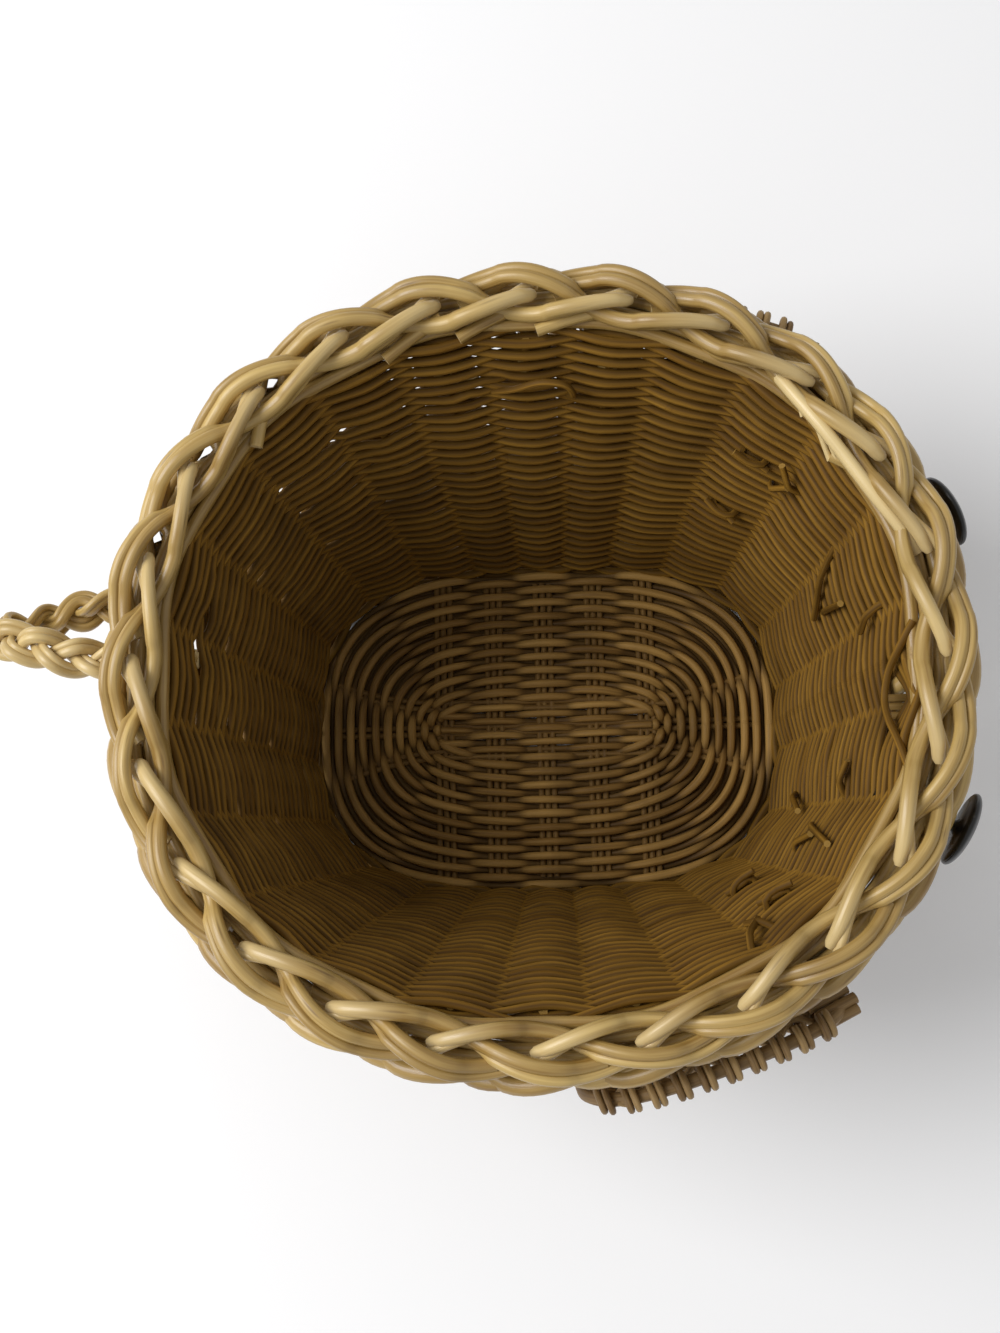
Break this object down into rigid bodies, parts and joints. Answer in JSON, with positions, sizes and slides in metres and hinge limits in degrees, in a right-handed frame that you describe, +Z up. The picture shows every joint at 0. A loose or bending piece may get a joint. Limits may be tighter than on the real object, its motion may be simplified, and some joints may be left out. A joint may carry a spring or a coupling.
{
  "type": "animal-shaped basket",
  "caption": "Woven reed basket shaped like an elephant: oval floor, flaring side, plaited border, swinging hoop ears, button eyes, plaited trunk and looped tail.",
  "frame": {"origin": "middle of the floor's underside, where the basket stands", "axes": "+X towards the animal's face, +Y to its left, +Z up to the open rim"},
  "size_m": [0.2907, 0.227, 0.1499],
  "materials": {
    "golden_reed": "satin",
    "brown_reed": "matte",
    "pale_reed": "satin",
    "black_gloss": "gloss"
  },
  "bodies": {
    "basket": {"base_weave": "brown_reed", "base_cross_sticks_1": "pale_reed", "base_cross_sticks_2": "pale_reed", "base_cross_sticks_3": "pale_reed", "base_cross_sticks_4": "pale_reed", "base_cross_sticks_5": "pale_reed", "base_long_sticks_1": "pale_reed", "base_long_sticks_2": "pale_reed", "base_long_sticks_3": "pale_reed", "foot_wale": "brown_reed", "side_weave": "brown_reed", "side_stake_01": "pale_reed", "side_stake_02": "pale_reed", "side_stake_03": "pale_reed", "side_stake_04": "pale_reed", "side_stake_05": "pale_reed", "side_stake_06": "pale_reed", "side_stake_07": "pale_reed", "side_stake_08": "pale_reed", "side_stake_09": "pale_reed", "side_stake_10": "pale_reed", "side_stake_11": "pale_reed", "side_stake_12": "pale_reed", "side_stake_13": "pale_reed", "side_stake_14": "pale_reed", "side_stake_15": "pale_reed", "side_stake_16": "pale_reed", "side_stake_17": "pale_reed", "side_stake_18": "pale_reed", "side_stake_19": "pale_reed", "side_stake_20": "pale_reed", "side_stake_21": "pale_reed", "side_stake_22": "pale_reed", "side_stake_23": "pale_reed", "side_stake_24": "pale_reed", "top_wale": "golden_reed", "border_strand_1": "golden_reed", "border_strand_2": "golden_reed", "border_strand_3": "golden_reed", "left_ear_tie_upper": "pale_reed", "left_ear_tie_lower": "pale_reed", "right_ear_tie_upper": "pale_reed", "right_ear_tie_lower": "pale_reed", "trunk_strand_1": "golden_reed", "trunk_strand_2": "golden_reed", "trunk_strand_3": "golden_reed", "trunk_binding": "pale_reed", "tail_strand_1": "golden_reed", "tail_strand_2": "golden_reed", "tail_strand_3": "golden_reed"},
    "left_ear": {"left_ear_hoop": "golden_reed", "left_ear_weave": "brown_reed"},
    "right_ear": {"right_ear_hoop": "golden_reed", "right_ear_weave": "brown_reed"},
    "left_eye": {"left_eye": "black_gloss"},
    "right_eye": {"right_eye": "black_gloss"}
  },
  "joints": [
    {"name": "left_ear_swing", "type": "hinge", "parent": "basket", "child": "left_ear", "pos_m": [0.07268, 0.06981, 0.05598], "axis": [-0.0885, -0.3304, -0.9397], "range_deg": [-0.5, 22]},
    {"name": "right_ear_swing", "type": "hinge", "parent": "basket", "child": "right_ear", "pos_m": [0.07025, -0.07061, 0.05598], "axis": [0.1254, -0.3182, 0.9397], "range_deg": [-0.5, 22]},
    {"name": "left_eye_turn", "type": "hinge", "parent": "basket", "child": "left_eye", "pos_m": [0.09387, 0.03177, 0.121], "axis": [0.9011, 0.4337, 0], "continuous": true},
    {"name": "right_eye_turn", "type": "hinge", "parent": "basket", "child": "right_eye", "pos_m": [0.09243, -0.03604, 0.121], "axis": [0.8805, -0.4741, 0], "continuous": true}
  ]
}
